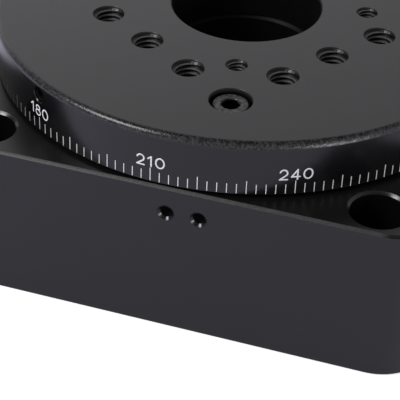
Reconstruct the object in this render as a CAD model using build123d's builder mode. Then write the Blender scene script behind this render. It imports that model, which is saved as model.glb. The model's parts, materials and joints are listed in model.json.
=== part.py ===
"""A worm-driven rotation stage with a round table on a square-cornered base.

Millimetres. The origin is the centre of rotation in the table's top face, +Z is up,
the worm lies along X behind the rotation axis, and -Y is the front of the base.
"""

import os
from math import atan, cos, degrees, pi, radians, sin, tan

from build123d import *

# Threads, drawn at their nominal diameter
m6_radius = 3.0
m4_radius = 2.0
m3_radius = 1.5
m25_radius = 1.25
thread_gap = 0.05
tap_chamfer_width = 0.15

# Clearances
fit_gap = 0.02
running_gap = 0.05
ball_gap = 0.2
inner_gap = 0.5
screw_hole_gap = 0.25
screw_wall_thickness = 0.6

# Rotary table
table_thickness = 11.0
table_edge_radius = 1.2
table_bottom_chamfer_width = 0.3
table_gap = 0.5
table_angle = 56.7
aperture_radius = 15.0
mouth_chamfer_width = 0.25
grid_pitch = 12.5
grid_steps = 2
small_tap_circle_radius = 24.0
grip_hole_mark = 180.0
grip_hole_offset = 3.0
grip_hole_depth = 8.0

# M4 cap screws that hold the table to the hub
table_screw_head_radius = 3.5
table_screw_head_height = 4.0
table_screw_socket_width = 3.0
table_screw_head_gap = 0.5
table_screw_recess_depth = 0.75
table_screw_circle_radius = 36.3
table_screw_count = 4

# Hub
hub_wall_thickness = 7.5
hub_seat_width = 1.5
flange_thickness = 6.0
flange_floor_thickness = 2.25
flange_edge_width = 3.7
hub_mouth_chamfer_width = 0.9
flange_gap = 1.0

# M3 cap screws, and the sockets of the smaller screws
m3_head_radius = 2.75
m3_head_height = 3.0
m3_socket_width = 2.5
m3_head_recess_depth = 0.2
set_screw_socket_width = 1.5

# Main bearing, its lock nut and its clamp ring
bearing_section_width = 10.5
bearing_ring_thickness = 3.5
bearing_height = 9.0
bearing_land_width = 2.0
ball_radius = 2.3
ball_count = 24
cage_thickness = 1.5
cage_height = 6.0
lip_thickness = 2.0
clamp_thickness = 3.0
clamp_screw_count = 6
clamp_thread_depth = 3.0
nut_rim_width = 1.5
nut_slot_width = 4.0
nut_slot_depth = 2.0
nut_slot_count = 4

# Bottom cover
cover_recess_depth = 0.2
cover_thickness = 2.0
cover_hole_gap = 2.0
cover_screw_count = 6
cover_thread_depth = 5.0

# Worm gearing, one start
gear_module = 0.8
wheel_teeth = 90
worm_pitch_radius = 5.0
wheel_thickness = 7.0
tooth_backlash_gap = 0.45
root_gap = 0.2
worm_turns = 9
chamber_gap = 1.0
wheel_screw_count = 6
wheel_screw_angle = 15.0
wheel_thread_depth = 4.2

# Worm shaft and its bearings
journal_radius = 4.0
shaft_shoulder_height = 0.9
shaft_tail_length = 1.0
worm_bearing_section_width = 4.0
worm_bearing_width = 5.0
worm_bearing_depth = 4.0
worm_ring_thickness = 1.3
worm_ball_radius = 1.1
worm_ball_count = 9
retainer_thickness = 0.8
retainer_groove_depth = 0.5
retainer_section_height = 1.6
spring_height = 1.0
spring_section_width = 0.9
knob_shaft_radius = 3.0

# End caps over the worm bearings
cap_thickness = 6.0
cap_corner_radius = 3.0
cap_screw_spacing_width = 17.0
cap_screw_spacing_height = 13.0
cap_thread_depth = 5.2
spigot_thickness = 1.2

# Base housing
base_side_thickness = 3.65
base_corner_radius = 10.4
base_edge_chamfer_width = 0.5
bolt_radius = 3.3
bolt_head_radius = 5.25
bolt_head_depth = 20.5
bolt_spacing_width = 75.0
bolt_edge_width = 6.9
bolt_wall_thickness = 2.65
front_screw_places = (0.2, 6.4)
front_screw_depth = 5.55
front_screw_length = 4.0
front_screw_recess_depth = 3.2
front_floor_gap = 0.8

# Hand knob and its graduated dial
dial_gap = 0.4
dial_radius = 11.0
dial_width = 7.0
dial_bevel_width = 1.2
knob_radius = 12.5
knob_width = 13.0
knob_chamfer_width = 1.0
knob_flute_radius = 0.6
knob_flute_count = 40
knob_boss_radius = 9.0
knob_boss_height = 2.0
set_screw_length = 5.0

# Table lock
lock_shoe_length = 4.0
lock_travel_gap = 0.3
lock_head_gap = 1.5
lock_head_radius = 7.0
lock_head_width = 8.5
lock_neck_radius = 4.0
lock_neck_length = 1.5
lock_flute_count = 12
lock_flute_radius = 1.0

# Gearing worked out from the module
wheel_pitch_radius = gear_module * wheel_teeth / 2
wheel_tip_radius = wheel_pitch_radius + gear_module
wheel_root_radius = wheel_pitch_radius - gear_module - root_gap
worm_tip_radius = worm_pitch_radius + gear_module
worm_root_radius = worm_pitch_radius - gear_module - root_gap
worm_y = wheel_pitch_radius + worm_pitch_radius
worm_pitch = pi * gear_module
lead_angle = degrees(atan(gear_module / (2 * worm_pitch_radius)))
tooth_slope = tan(radians(20))

# Heights, down from the table's top face at zero
table_bottom = -table_thickness
base_top = table_bottom - table_gap
flange_bottom = table_bottom - flange_thickness
worm_z = flange_bottom - inner_gap - worm_tip_radius
wheel_top = worm_z + wheel_thickness / 2
wheel_bottom = wheel_top - wheel_thickness
lip_top = wheel_bottom - inner_gap
bearing_top = lip_top - lip_thickness
bearing_bottom = bearing_top - bearing_height
bearing_middle = (bearing_top + bearing_bottom) / 2
clamp_bottom = bearing_bottom - clamp_thickness
cover_top = clamp_bottom - inner_gap
cover_bottom = cover_top - cover_thickness
base_bottom = cover_bottom - cover_recess_depth

# Radii, from the aperture outwards
bearing_bore_radius = aperture_radius + hub_wall_thickness
inner_race_radius = bearing_bore_radius + bearing_ring_thickness
bearing_outer_radius = bearing_bore_radius + bearing_section_width
outer_race_radius = bearing_outer_radius - bearing_ring_thickness
ball_circle_radius = (bearing_bore_radius + bearing_outer_radius) / 2
land_radius = bearing_outer_radius - bearing_land_width
nut_outer_radius = inner_race_radius + nut_rim_width
wheel_seat_radius = bearing_bore_radius + hub_seat_width
m3_head_room = m3_head_radius + screw_hole_gap
m3_head_sink = m3_head_height + m3_head_recess_depth
wheel_screw_circle_radius = wheel_seat_radius + screw_wall_thickness + m3_head_room
shoulder_radius = wheel_screw_circle_radius + m3_head_room
grid_reach = grid_pitch * grid_steps
flange_radius = table_screw_circle_radius + flange_edge_width
flange_room = flange_radius + flange_gap
wheel_room = wheel_tip_radius + chamber_gap
flat_head_room = 2 * m25_radius + screw_hole_gap
flat_head_land = 2 * (flat_head_room + screw_wall_thickness)
clamp_outer_radius = bearing_outer_radius + flat_head_land - screw_wall_thickness
clamp_screw_circle_radius = clamp_outer_radius - flat_head_land / 2
clamp_room = clamp_outer_radius + inner_gap
cover_radius = clamp_room + flat_head_land
cover_screw_circle_radius = cover_radius - flat_head_land / 2
cover_hole_radius = aperture_radius + cover_hole_gap

# The base, the table that is as wide, and what stands on the base's faces
half_width = cover_radius + running_gap + base_side_thickness
base_width = 2 * half_width
table_radius = half_width
front_row_y = bolt_edge_width - half_width
worm_bearing_radius = journal_radius + worm_bearing_section_width
back_row_y = worm_y + worm_bearing_radius + bolt_wall_thickness + bolt_head_radius
base_back = back_row_y + bolt_edge_width
base_height = base_top - base_bottom
worm_bearing_outside = half_width - worm_bearing_depth
worm_bearing_inside = worm_bearing_outside - worm_bearing_width
worm_ball_circle_radius = (journal_radius + worm_bearing_radius) / 2
shaft_start = worm_bearing_outside + retainer_thickness + shaft_tail_length
cap_width = cap_screw_spacing_width + 2 * (m3_head_room + screw_wall_thickness)
cap_height = cap_screw_spacing_height + 2 * (m3_head_room + screw_wall_thickness)
cap_face = half_width + cap_thickness
dial_start = cap_face + dial_gap
knob_start = dial_start + dial_width
knob_body_end = knob_start + knob_width
lock_z = flange_bottom + m4_radius + running_gap
lock_shoe_start = flange_radius + lock_travel_gap
lock_shoe_end = lock_shoe_start + lock_shoe_length
lock_neck_start = half_width + lock_head_gap
lock_head_start = lock_neck_start + lock_neck_length
lock_head_end = lock_head_start + lock_head_width

worm_axis = Plane(origin=(0, worm_y, worm_z), x_dir=(0, 1, 0), z_dir=(1, 0, 0))
lock_axis = Plane(origin=(0, 0, lock_z), x_dir=(0, 1, 0), z_dir=(1, 0, 0))
table_face = Plane.XY.rotated((0, 0, table_angle))


def turned(base_plane, steps):
    """A lathe-turned piece: steps of (start, end, radius, bore radius) along the plane's normal."""
    with BuildPart() as piece:
        for start, end, radius, bore in steps:
            with BuildSketch(base_plane.offset(start)):
                Circle(radius)
                if bore:
                    Circle(bore, mode=Mode.SUBTRACT)
            extrude(amount=end - start)
    return piece


def rims(builder, radius, height, axis=Axis.Z):
    """The circular edges of this radius whose centre lies at this height along the axis."""
    def fits(edge):
        along = edge.arc_center.dot(axis.direction)
        return abs(edge.radius - radius) < 0.01 and abs(along - height) < 0.01
    return builder.edges().filter_by(GeomType.CIRCLE).filter_by(fits)


def cap_screw(radius, length, head_radius, head_height, socket):
    """A socket-head cap screw whose head sits on z = 0 and whose shank points down."""
    with BuildPart() as screw:
        with BuildSketch(Plane.XY.offset(-length)):
            Circle(radius)
        extrude(amount=length)
        with BuildSketch():
            Circle(head_radius)
        extrude(amount=head_height)
        chamfer(rims(screw, head_radius, head_height), head_height / 10)
        with BuildSketch(Plane.XY.offset(head_height)):
            RegularPolygon(socket / 2, 6, major_radius=False)
        extrude(amount=-head_height / 2, mode=Mode.SUBTRACT)
    return screw.part


def countersunk_screw(radius, length, socket):
    """A flat-head screw with its face at z = 0, its shank pointing down."""
    with BuildPart() as screw:
        with BuildSketch(Plane.XY.offset(-length)):
            Circle(radius)
        extrude(amount=length)
        with Locations((0, 0, -radius / 2)):
            Cone(radius, 2 * radius, radius)
        with BuildSketch():
            RegularPolygon(socket / 2, 6, major_radius=False)
        extrude(amount=-radius, mode=Mode.SUBTRACT)
    return screw.part


def set_screw(radius, length, socket):
    """A headless screw with its socket at z = 0 and a coned tip below."""
    with BuildPart() as screw:
        with BuildSketch():
            Circle(radius)
        extrude(amount=-length)
        chamfer(rims(screw, radius, -length), radius / 3)
        with BuildSketch():
            RegularPolygon(socket / 2, 6, major_radius=False)
        extrude(amount=-length / 2, mode=Mode.SUBTRACT)
    return screw.part


def circle_places(radius, count, height, offset_angle=0.0):
    """Points on a horizontal circle about the rotation axis."""
    angles = [radians(offset_angle + 360 * i / count) for i in range(count)]
    return [(radius * cos(a), radius * sin(a), height) for a in angles]


# ---------------------------------------------------------------- rotary table
table_counterbore_radius = table_screw_head_radius + table_screw_head_gap
table_counterbore_depth = table_screw_head_height + table_screw_recess_depth
table_tap_depth = flange_thickness - flange_floor_thickness
grid_line = [grid_pitch * i for i in range(-grid_steps, grid_steps + 1)]
m6_places = [(x, y) for x in grid_line for y in grid_line
             if max(abs(x), abs(y)) == grid_reach and abs(x) != abs(y)]
grip_angle = table_angle + grip_hole_mark
grip_plane = Plane(
    origin=(table_radius * cos(radians(grip_angle)), table_radius * sin(radians(grip_angle)),
            -grip_hole_offset),
    z_dir=(cos(radians(grip_angle)), sin(radians(grip_angle)), 0),
)

with BuildPart() as rotary_table:
    with BuildSketch(Plane.XY.offset(table_bottom)):
        Circle(table_radius)
        Circle(aperture_radius, mode=Mode.SUBTRACT)
    extrude(amount=table_thickness)
    fillet(rims(rotary_table, table_radius, 0), table_edge_radius)
    chamfer(rims(rotary_table, table_radius, table_bottom), table_bottom_chamfer_width)
    chamfer(rims(rotary_table, aperture_radius, 0), mouth_chamfer_width)
    chamfer(rims(rotary_table, aperture_radius, table_bottom), mouth_chamfer_width)
    with Locations(table_face):
        with Locations(*m6_places):
            CounterSinkHole(m6_radius, m6_radius + tap_chamfer_width, table_thickness, 90)
        with PolarLocations(small_tap_circle_radius, 4, start_angle=45):
            CounterSinkHole(m4_radius, m4_radius + tap_chamfer_width, table_thickness, 90)
        with PolarLocations(table_screw_circle_radius, table_screw_count, start_angle=45):
            CounterBoreHole(m4_radius + screw_hole_gap, table_counterbore_radius,
                            table_counterbore_depth, table_thickness)
    with Locations(grip_plane):
        CounterSinkHole(m3_radius, m3_radius + tap_chamfer_width, grip_hole_depth, 90)
    chamfer(rims(rotary_table, table_counterbore_radius, 0), tap_chamfer_width)
rotary_table.part.label = "rotary_table"

table_screw_length = table_thickness - table_counterbore_depth + table_tap_depth
with BuildPart() as table_screws:
    with Locations(table_face.offset(-table_counterbore_depth)):
        with PolarLocations(table_screw_circle_radius, table_screw_count, start_angle=45):
            add(cap_screw(m4_radius, table_screw_length, table_screw_head_radius,
                          table_screw_head_height, table_screw_socket_width))
table_screws.part.label = "table_screws"

# ------------------------------------------------------------------------ hub
hub_bore = aperture_radius
nut_thread_radius = bearing_bore_radius - running_gap
hub_steps = [
    (cover_top + inner_gap, bearing_bottom, nut_thread_radius, hub_bore),
    (bearing_bottom, bearing_top, bearing_bore_radius - fit_gap, hub_bore),
    (bearing_top, wheel_top, wheel_seat_radius, hub_bore),
    (wheel_top, flange_bottom, shoulder_radius, hub_bore),
    (flange_bottom, table_bottom, flange_radius, hub_bore),
]
wheel_screw_length = wheel_thickness - m3_head_sink + wheel_thread_depth
with BuildPart() as hub:
    add(turned(Plane.XY, hub_steps))
    with Locations(table_face.offset(table_bottom)):
        with PolarLocations(table_screw_circle_radius, table_screw_count, start_angle=45):
            Hole(m4_radius + thread_gap, table_tap_depth + inner_gap)
    with Locations(table_face.offset(wheel_top).rotated((180, 0, 0))):
        with PolarLocations(wheel_screw_circle_radius, wheel_screw_count, wheel_screw_angle):
            Hole(m3_radius + thread_gap, wheel_thread_depth + inner_gap)
    chamfer(rims(hub, hub_bore, cover_top + inner_gap), mouth_chamfer_width)
    chamfer(rims(hub, hub_bore, table_bottom), hub_mouth_chamfer_width)
hub.part.label = "hub"

# ----------------------------------------------------------------- worm wheel
def tooth_section(height, turn):
    """One wheel tooth's section, its root sunk into the rim, turned about the axis."""
    tip = gear_module * (pi / 4 - tooth_slope) - tooth_backlash_gap / 4
    root = gear_module * (pi / 4 + tooth_slope) - tooth_backlash_gap / 4
    with BuildSketch(Plane.XY.offset(height).rotated((0, 0, turn))) as section:
        with BuildLine():
            Polyline((wheel_root_radius - root_gap, -root), (wheel_root_radius, -root),
                     (wheel_tip_radius, -tip), (wheel_tip_radius, tip),
                     (wheel_root_radius, root), (wheel_root_radius - root_gap, root),
                     close=True)
        make_face()
    return section.sketch


tooth_step = 360 / wheel_teeth
tooth_turn = degrees(wheel_thickness * tan(radians(lead_angle)) / wheel_pitch_radius)
gap_at_worm = 90 + tooth_step / 2
with BuildPart() as wheel_tooth:
    add(tooth_section(wheel_bottom, gap_at_worm - tooth_turn / 2))
    add(tooth_section(wheel_top, gap_at_worm + tooth_turn / 2))
    loft(ruled=True)

with BuildPart() as worm_wheel:
    add(turned(Plane.XY, [(wheel_bottom, wheel_top, wheel_root_radius, wheel_seat_radius + fit_gap)]))
    with PolarLocations(0, wheel_teeth):
        add(wheel_tooth.part)
    with Locations(table_face.offset(wheel_bottom).rotated((180, 0, 0))):
        with PolarLocations(wheel_screw_circle_radius, wheel_screw_count, wheel_screw_angle):
            CounterBoreHole(m3_radius + screw_hole_gap, m3_head_room, m3_head_sink, wheel_thickness)
worm_wheel.part.label = "worm_wheel"

wheel_screw_seat = table_face.offset(wheel_bottom + m3_head_sink).rotated((180, 0, 0))
with BuildPart() as wheel_screws:
    with Locations(wheel_screw_seat):
        with PolarLocations(wheel_screw_circle_radius, wheel_screw_count, wheel_screw_angle):
            add(cap_screw(m3_radius, wheel_screw_length, m3_head_radius, m3_head_height,
                          m3_socket_width))
wheel_screws.part.label = "wheel_screws"

# --------------------------------------------------------------- main bearing
with BuildPart() as bearing_inner_ring:
    add(turned(Plane.XY, [(bearing_bottom, bearing_top, inner_race_radius, bearing_bore_radius)]))
    with Locations((0, 0, bearing_middle)):
        Torus(ball_circle_radius, ball_radius + ball_gap, mode=Mode.SUBTRACT)
bearing_inner_ring.part.label = "bearing_inner_ring"

with BuildPart() as bearing_outer_ring:
    add(turned(Plane.XY, [(bearing_bottom, bearing_top, bearing_outer_radius, outer_race_radius)]))
    with Locations((0, 0, bearing_middle)):
        Torus(ball_circle_radius, ball_radius + ball_gap, mode=Mode.SUBTRACT)
bearing_outer_ring.part.label = "bearing_outer_ring"

with BuildPart() as bearing_balls:
    with Locations((0, 0, bearing_middle)):
        with PolarLocations(ball_circle_radius, ball_count):
            Sphere(ball_radius)
bearing_balls.part.label = "bearing_balls"

cage_low = bearing_middle - cage_height / 2
with BuildPart() as bearing_cage:
    add(turned(Plane.XY, [(cage_low, cage_low + cage_height, ball_circle_radius + cage_thickness / 2,
                           ball_circle_radius - cage_thickness / 2)]))
    with Locations((0, 0, bearing_middle)):
        with PolarLocations(ball_circle_radius, ball_count):
            Cylinder(ball_radius + running_gap, 2 * cage_thickness, rotation=(0, 90, 0),
                     mode=Mode.SUBTRACT)
bearing_cage.part.label = "bearing_cage"

with BuildPart() as bearing_lock_nut:
    add(turned(Plane.XY, [(clamp_bottom, bearing_bottom, nut_outer_radius, bearing_bore_radius)]))
    with Locations((0, 0, (clamp_bottom + bearing_bottom) / 2)):
        with PolarLocations(nut_outer_radius, nut_slot_count):
            Box(2 * nut_slot_depth, nut_slot_width, clamp_thickness, mode=Mode.SUBTRACT)
bearing_lock_nut.part.label = "bearing_lock_nut"

with BuildPart() as outer_clamp_ring:
    add(turned(Plane.XY, [(clamp_bottom, bearing_bottom, clamp_outer_radius, land_radius)]))
    with Locations(Plane.XY.offset(clamp_bottom).rotated((180, 0, 0))):
        with PolarLocations(clamp_screw_circle_radius, clamp_screw_count):
            CounterSinkHole(m25_radius + screw_hole_gap, flat_head_room, clamp_thickness, 90)
outer_clamp_ring.part.label = "outer_clamp_ring"

with BuildPart() as clamp_ring_screws:
    with Locations(Plane.XY.offset(clamp_bottom).rotated((180, 0, 0))):
        with PolarLocations(clamp_screw_circle_radius, clamp_screw_count):
            add(countersunk_screw(m25_radius, clamp_thickness + clamp_thread_depth,
                                  set_screw_socket_width))
clamp_ring_screws.part.label = "clamp_ring_screws"

# --------------------------------------------------------------- base housing
bolt_places = [(x * bolt_spacing_width / 2, y) for x in (-1, 1) for y in (front_row_y, back_row_y)]
base_bores = [
    (flange_bottom - inner_gap, base_top, flange_room),
    (lip_top, flange_bottom - inner_gap, wheel_room),
    (bearing_top, lip_top, land_radius),
    (bearing_bottom, bearing_top, bearing_outer_radius + fit_gap),
    (cover_top, bearing_bottom, clamp_room),
    (base_bottom, cover_top, cover_radius + running_gap),
]
front_face = Plane(origin=(0, -half_width, base_top - front_screw_depth), x_dir=(1, 0, 0),
                   z_dir=(0, -1, 0))
front_hole_places = [(x, 0) for x in front_screw_places]
side_faces = {
    "left": Plane(origin=(-half_width, worm_y, worm_z), x_dir=(0, 1, 0), z_dir=(-1, 0, 0)),
    "right": Plane(origin=(half_width, worm_y, worm_z), x_dir=(0, 1, 0), z_dir=(1, 0, 0)),
}
cap_screw_grid = [(y * cap_screw_spacing_width / 2, z * cap_screw_spacing_height / 2)
                  for y in (-1, 1) for z in (-1, 1)]
front_hole_depth = front_screw_recess_depth + front_screw_length + front_floor_gap

with BuildPart() as base_housing:
    with BuildSketch(Plane.XY.offset(base_bottom)):
        with Locations((0, (base_back - half_width) / 2)):
            RectangleRounded(base_width, half_width + base_back, base_corner_radius)
    extrude(amount=base_height)
    chamfer(base_housing.faces().sort_by(Axis.Z)[-1].edges(), base_edge_chamfer_width)
    chamfer(base_housing.faces().sort_by(Axis.Z)[0].edges(), base_edge_chamfer_width / 2)
    for low, high, radius in base_bores:
        with BuildSketch(Plane.XY.offset(low)):
            Circle(radius)
        extrude(amount=high - low, mode=Mode.SUBTRACT)
    with Locations(Plane.XY.offset(base_top)):
        with Locations(*bolt_places):
            CounterBoreHole(bolt_radius, bolt_head_radius, bolt_head_depth, base_height)
    chamfer(rims(base_housing, bolt_head_radius, base_top), base_edge_chamfer_width)
    with BuildSketch(worm_axis.offset(-half_width)):
        Circle(worm_bearing_radius + fit_gap)
    extrude(amount=base_width, mode=Mode.SUBTRACT)
    for face in side_faces.values():
        with Locations(face):
            with Locations(*cap_screw_grid):
                Hole(m3_radius + thread_gap, cap_thread_depth + inner_gap)
    with Locations(front_face):
        with Locations(*front_hole_places):
            CounterSinkHole(m3_radius + thread_gap, m3_radius + tap_chamfer_width, front_hole_depth, 90)
    with Locations(lock_axis.offset(half_width)):
        Hole(m4_radius + running_gap, half_width - flange_room + inner_gap)
    with Locations(Plane.XY.offset(cover_top).rotated((180, 0, 0))):
        with PolarLocations(cover_screw_circle_radius, cover_screw_count, start_angle=30):
            Hole(m25_radius + thread_gap, cover_thread_depth + inner_gap)
    with Locations(Plane.XY.offset(bearing_bottom).rotated((180, 0, 0))):
        with PolarLocations(clamp_screw_circle_radius, clamp_screw_count):
            Hole(m25_radius + thread_gap, clamp_thread_depth + inner_gap)
base_housing.part.label = "base_housing"

with BuildPart() as front_set_screws:
    with Locations(front_face.offset(-front_screw_recess_depth)):
        with Locations(*front_hole_places):
            add(set_screw(m3_radius, front_screw_length, set_screw_socket_width))
front_set_screws.part.label = "front_set_screws"

with BuildPart() as bottom_cover:
    add(turned(Plane.XY, [(cover_bottom, cover_top, cover_radius, cover_hole_radius)]))
    with Locations(Plane.XY.offset(cover_bottom).rotated((180, 0, 0))):
        with PolarLocations(cover_screw_circle_radius, cover_screw_count, start_angle=30):
            CounterSinkHole(m25_radius + screw_hole_gap, flat_head_room, cover_thickness, 90)
bottom_cover.part.label = "bottom_cover"

with BuildPart() as cover_screws:
    with Locations(Plane.XY.offset(cover_bottom).rotated((180, 0, 0))):
        with PolarLocations(cover_screw_circle_radius, cover_screw_count, start_angle=30):
            add(countersunk_screw(m25_radius, cover_thickness + cover_thread_depth,
                                  set_screw_socket_width))
cover_screws.part.label = "cover_screws"

# ----------------------------------------------------------------- worm shaft
thread_length = worm_turns * worm_pitch
worm_shoulder_radius = journal_radius + shaft_shoulder_height
shaft_steps = [
    (-shaft_start, -worm_bearing_inside, journal_radius, 0),
    (-worm_bearing_inside, worm_bearing_inside, worm_root_radius, 0),
    (-worm_bearing_inside, -thread_length / 2 - worm_pitch, worm_shoulder_radius, 0),
    (thread_length / 2 + worm_pitch, worm_bearing_inside, worm_shoulder_radius, 0),
    (worm_bearing_inside, half_width, journal_radius, 0),
    (half_width, knob_body_end, knob_shaft_radius, 0),
]
tip_half = gear_module * (pi / 4 - tooth_slope) - tooth_backlash_gap / 4
root_half = gear_module * (pi / 4 + tooth_slope) - tooth_backlash_gap / 4

# The ridge starts on the wheel's side after a whole or half number of turns to the middle
thread_start_angle = 180 + 180 * worm_turns
thread_plane = Plane(
    origin=(-thread_length / 2, worm_y, worm_z),
    x_dir=(0, cos(radians(thread_start_angle)), sin(radians(thread_start_angle))),
    z_dir=(1, 0, 0),
)
with BuildPart() as thread_ridge:
    with BuildLine() as thread_path:
        Helix(worm_pitch, thread_length, worm_pitch_radius)
    with BuildSketch(Plane(origin=(worm_pitch_radius, 0, 0), x_dir=(1, 0, 0), z_dir=(0, 1, 0))):
        with BuildLine():
            Polyline((-gear_module - 2 * root_gap, root_half), (-gear_module, root_half),
                     (gear_module, tip_half), (gear_module, -tip_half),
                     (-gear_module, -root_half), (-gear_module - 2 * root_gap, -root_half),
                     close=True)
        make_face()
    sweep(path=thread_path.line, is_frenet=True)

with BuildPart() as worm_shaft:
    add(turned(worm_axis, shaft_steps))
    with Locations(thread_plane):
        add(thread_ridge.part)
    chamfer(rims(worm_shaft, knob_shaft_radius, knob_body_end, Axis.X), mouth_chamfer_width)
    for side in (-1, 1):
        with BuildSketch(worm_axis.offset(side * (worm_bearing_outside + retainer_thickness / 2))):
            Circle(journal_radius + running_gap)
            Circle(journal_radius - retainer_groove_depth, mode=Mode.SUBTRACT)
        extrude(amount=retainer_thickness / 2, both=True, mode=Mode.SUBTRACT)
worm_shaft.part.label = "worm_shaft"


def both_ends(start, end, radius, bore):
    """The same turned ring at each end of the worm's axis."""
    return [(start, end, radius, bore), (-end, -start, radius, bore)]


bearing_span = (worm_bearing_inside, worm_bearing_outside)
worm_bearing_middle = sum(bearing_span) / 2
with BuildPart() as worm_bearing_inner_rings:
    add(turned(worm_axis, both_ends(*bearing_span, journal_radius + worm_ring_thickness,
                                    journal_radius + fit_gap)))
    for side in (-1, 1):
        with Locations(worm_axis.offset(side * worm_bearing_middle)):
            Torus(worm_ball_circle_radius, worm_ball_radius + ball_gap, mode=Mode.SUBTRACT)
worm_bearing_inner_rings.part.label = "worm_bearing_inner_rings"

with BuildPart() as worm_bearing_outer_rings:
    add(turned(worm_axis, both_ends(*bearing_span, worm_bearing_radius,
                                    worm_bearing_radius - worm_ring_thickness)))
    for side in (-1, 1):
        with Locations(worm_axis.offset(side * worm_bearing_middle)):
            Torus(worm_ball_circle_radius, worm_ball_radius + ball_gap, mode=Mode.SUBTRACT)
worm_bearing_outer_rings.part.label = "worm_bearing_outer_rings"

with BuildPart() as worm_bearing_balls:
    for side in (-1, 1):
        with Locations(worm_axis.offset(side * worm_bearing_middle)):
            with PolarLocations(worm_ball_circle_radius, worm_ball_count):
                Sphere(worm_ball_radius)
worm_bearing_balls.part.label = "worm_bearing_balls"

retaining_rings = turned(
    worm_axis,
    both_ends(worm_bearing_outside, worm_bearing_outside + retainer_thickness,
              journal_radius + retainer_section_height,
              journal_radius - retainer_groove_depth + fit_gap),
)
retaining_rings.part.label = "retaining_rings"

spring_outer = worm_bearing_radius - running_gap
preload_spring = turned(
    worm_axis,
    [(-worm_bearing_outside - spring_height, -worm_bearing_outside, spring_outer,
      spring_outer - spring_section_width)],
)
preload_spring.part.label = "preload_spring"

# ------------------------------------------------------------------- end caps
spigot_radius = worm_bearing_radius - running_gap
cap_screw_seat = cap_thickness - m3_head_sink


def end_cap(face, spigot_length, shaft_hole):
    """A bearing cap on a side face, with a spigot that reaches in to the bearing."""
    with BuildPart() as cap:
        with BuildSketch(face):
            RectangleRounded(cap_width, cap_height, cap_corner_radius)
        extrude(amount=cap_thickness)
        chamfer(cap.faces().sort_by(Axis(face.origin, face.z_dir))[-1].edges(),
                base_edge_chamfer_width)
        with BuildSketch(face):
            Circle(spigot_radius)
            Circle(spigot_radius - spigot_thickness, mode=Mode.SUBTRACT)
        extrude(amount=-spigot_length)
        with Locations(face.offset(cap_thickness)):
            if shaft_hole:
                Hole(shaft_hole, cap_thickness)
            with Locations(*cap_screw_grid):
                CounterBoreHole(m3_radius + screw_hole_gap, m3_head_room, m3_head_sink,
                                cap_thickness)
    return cap


worm_cap = end_cap(side_faces["left"], worm_bearing_depth - spring_height, 0)
worm_cap.part.label = "worm_cap"
knob_side_cap = end_cap(side_faces["right"], worm_bearing_depth, journal_radius + inner_gap)
knob_side_cap.part.label = "knob_side_cap"

cap_screw_length = cap_screw_seat + cap_thread_depth
with BuildPart() as cap_screws:
    for face in side_faces.values():
        with Locations(face.offset(cap_screw_seat)):
            with Locations(*cap_screw_grid):
                add(cap_screw(m3_radius, cap_screw_length, m3_head_radius, m3_head_height,
                              m3_socket_width))
cap_screws.part.label = "cap_screws"

# -------------------------------------------------------------- dial and knob
shaft_fit_radius = knob_shaft_radius + fit_gap


def grub_plane(along, radius):
    """A plane on the top of the knob's axis, facing out, for a radial set screw."""
    return Plane(origin=(along, worm_y, worm_z + radius), x_dir=(1, 0, 0), z_dir=(0, 0, 1))


with BuildPart() as drive_dial:
    add(turned(worm_axis, [(dial_start, knob_start - running_gap, dial_radius, shaft_fit_radius)]))
    chamfer(rims(drive_dial, dial_radius, dial_start, Axis.X), dial_bevel_width)
    with Locations(grub_plane(dial_start + dial_width / 2, dial_radius)):
        Hole(m3_radius + thread_gap, dial_radius - knob_shaft_radius)
drive_dial.part.label = "drive_dial"

knob_end = knob_body_end + knob_boss_height
with BuildPart() as hand_knob:
    add(turned(worm_axis, [(knob_start, knob_body_end, knob_radius, shaft_fit_radius),
                           (knob_body_end, knob_end, knob_boss_radius, 0)]))
    chamfer(rims(hand_knob, knob_radius, knob_start, Axis.X), knob_chamfer_width)
    chamfer(rims(hand_knob, knob_radius, knob_body_end, Axis.X), knob_chamfer_width)
    chamfer(rims(hand_knob, knob_boss_radius, knob_end, Axis.X), knob_chamfer_width / 2)
    with BuildSketch(worm_axis.offset(knob_start)):
        with PolarLocations(knob_radius + knob_flute_radius / 3, knob_flute_count):
            Circle(knob_flute_radius)
    extrude(amount=knob_width, mode=Mode.SUBTRACT)
    with Locations(grub_plane((knob_start + knob_body_end) / 2, knob_radius)):
        Hole(m3_radius + thread_gap, knob_radius - knob_shaft_radius)
hand_knob.part.label = "hand_knob"

with BuildPart() as knob_set_screws:
    for along in (dial_start + dial_width / 2, (knob_start + knob_body_end) / 2):
        with Locations(grub_plane(along, shaft_fit_radius + set_screw_length)):
            add(set_screw(m3_radius, set_screw_length, set_screw_socket_width))
knob_set_screws.part.label = "knob_set_screws"

# ----------------------------------------------------------------- table lock
lock_shoe = turned(lock_axis, [(lock_shoe_start, lock_shoe_end, m4_radius, 0)])
lock_shoe.part.label = "lock_shoe"

with BuildPart() as lock_screw:
    add(turned(lock_axis, [
        (lock_shoe_end + running_gap, lock_neck_start, m4_radius, 0),
        (lock_neck_start, lock_head_start, lock_neck_radius, 0),
        (lock_head_start, lock_head_end, lock_head_radius, 0),
    ]))
    chamfer(rims(lock_screw, lock_head_radius, lock_head_start, Axis.X), knob_chamfer_width)
    chamfer(rims(lock_screw, lock_head_radius, lock_head_end, Axis.X), knob_chamfer_width)
    with BuildSketch(lock_axis.offset(lock_head_start)):
        with PolarLocations(lock_head_radius + lock_flute_radius / 3, lock_flute_count):
            Circle(lock_flute_radius)
    extrude(amount=lock_head_width, mode=Mode.SUBTRACT)
lock_screw.part.label = "lock_screw"

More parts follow.
